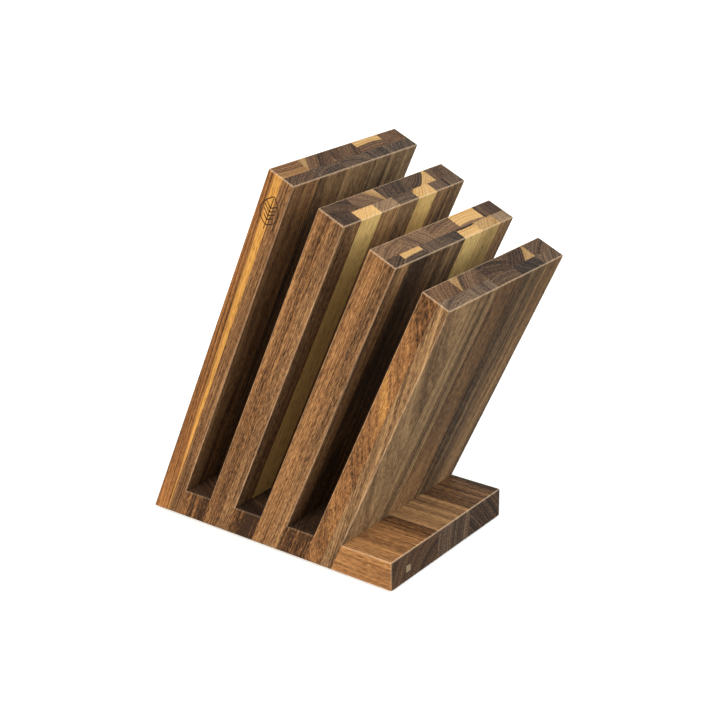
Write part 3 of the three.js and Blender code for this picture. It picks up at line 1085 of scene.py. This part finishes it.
def soft_sun(name, way, strength, softness, colour):
    """A soft light that is the same all over the floor, coming from a direction."""
    light = bpy.data.lights.new(name, "SUN")
    light.energy, light.angle, light.color = strength, softness, colour
    linked(name, light).rotation_euler = Vector(way).to_track_quat("Z", "Y").to_euler()


def sky_world(sky, ground):
    """Even light from all round, cooler and stronger above than below, seen as plain white."""
    world = bpy.data.worlds.new("sky")
    world.use_nodes = True
    world.node_tree.nodes.clear()
    n = Nodes(world.node_tree)
    up = n.part(n.put("ShaderNodeTexCoord").outputs["Generated"], 2)
    colour = n.blended(n.ramped(up, -0.25, 0.35), (ground * 0.96, ground, ground, 1),
                       (sky * 0.92, sky * 0.98, sky, 1))
    seen = n.put("ShaderNodeLightPath").outputs["Is Camera Ray"]
    background = n.put("ShaderNodeBackground", {
        "Color": n.blended(seen, colour, (1, 1, 1, 1)), "Strength": 1.0})
    n.put("ShaderNodeOutputWorld", {"Surface": background.outputs[0]})
    return world


def place_camera(look):
    """The camera, turned about the point it looks at and shifted a little off centre."""
    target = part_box("board_1_back_stave_1")[0] + LOOKED_AT
    az, el = look.azimuth, look.elevation
    back = Vector((math.sin(az) * math.cos(el), -math.cos(az) * math.cos(el), math.sin(el)))
    right = Vector((math.cos(az), math.sin(az), 0))
    frame_axes = Matrix((right, back.cross(right), back)).transposed()
    camera_data = bpy.data.cameras.new("camera")
    camera_data.lens, camera_data.sensor_width = look.lens, 36.0
    camera_data.shift_x, camera_data.shift_y = CAMERA_SHIFT
    camera = linked("camera", camera_data)
    turned = frame_axes @ Matrix.Rotation(look.roll, 3, "Z")
    camera.matrix_world = Matrix.Translation(target + back * look.distance) @ turned.to_4x4()
    bpy.context.scene.camera = camera


class KNIFEBLOCK_OT_stage(bpy.types.Operator):
    """Put down a plain pale floor, soft lights and the camera"""
    bl_idname = "knifeblock.stage"
    bl_label = "Stage"

    def execute(self, context):
        look = context.scene.knifeblock_stage
        bpy.ops.mesh.primitive_plane_add(size=12.0)
        floor = context.object
        floor.name = "floor"
        material, n, shader = new_material("Pale floor")
        n.fill(shader, {
            "Base Color": (*look.floor, 1), "Roughness": 0.9, "Specular IOR Level": 0.0,
            "Emission Color": (1, 1, 1, 1), "Emission Strength": look.glow})
        floor.data.materials.append(material)
        floor.visible_diffuse = floor.visible_glossy = False  # it throws no light back on the wood
        soft_sun("key", (0.08, -1.0, 0.40), look.key, 0.6, (1.0, 0.89, 0.74))
        soft_sun("fill", (1.0, 0.25, 0.30), look.fill, 1.4, (0.90, 0.97, 1.0))
        soft_sun("top", (0.0, 0.5, 1.0), look.top, 0.9, (1.0, 0.99, 0.97))
        context.scene.world = sky_world(look.sky, look.ground)
        context.scene.view_settings.view_transform = "Standard"
        place_camera(look)
        return {"FINISHED"}


class KNIFEBLOCK_PT_panel(bpy.types.Panel):
    """Lists the steps that build the knife block"""
    bl_label = "Knife block"
    bl_space_type = "VIEW_3D"
    bl_region_type = "UI"
    bl_category = "Knife block"

    def draw(self, context):
        for step in STEPS:
            self.layout.operator("knifeblock." + step)


STEPS = ("timber", "boards", "base", "leaf", "magnets", "dowels", "pads", "stage")
CLASSES = (
    BlockShape, WalnutLook, StageLook, KNIFEBLOCK_OT_timber, KNIFEBLOCK_OT_boards,
    KNIFEBLOCK_OT_base, KNIFEBLOCK_OT_leaf, KNIFEBLOCK_OT_magnets, KNIFEBLOCK_OT_dowels,
    KNIFEBLOCK_OT_pads, KNIFEBLOCK_OT_stage, KNIFEBLOCK_PT_panel)


def register():
    for cls in CLASSES:
        bpy.utils.register_class(cls)
    bpy.types.Scene.knifeblock_shape = PointerProperty(type=BlockShape)
    bpy.types.Scene.knifeblock_walnut = PointerProperty(type=WalnutLook)
    bpy.types.Scene.knifeblock_stage = PointerProperty(type=StageLook)


def unregister():
    for name in ("knifeblock_shape", "knifeblock_walnut", "knifeblock_stage"):
        delattr(bpy.types.Scene, name)
    for cls in reversed(CLASSES):
        bpy.utils.unregister_class(cls)


def main():
    register()
    for step in STEPS:
        getattr(bpy.ops.knifeblock, step)()


if __name__ == "__main__":
    main()
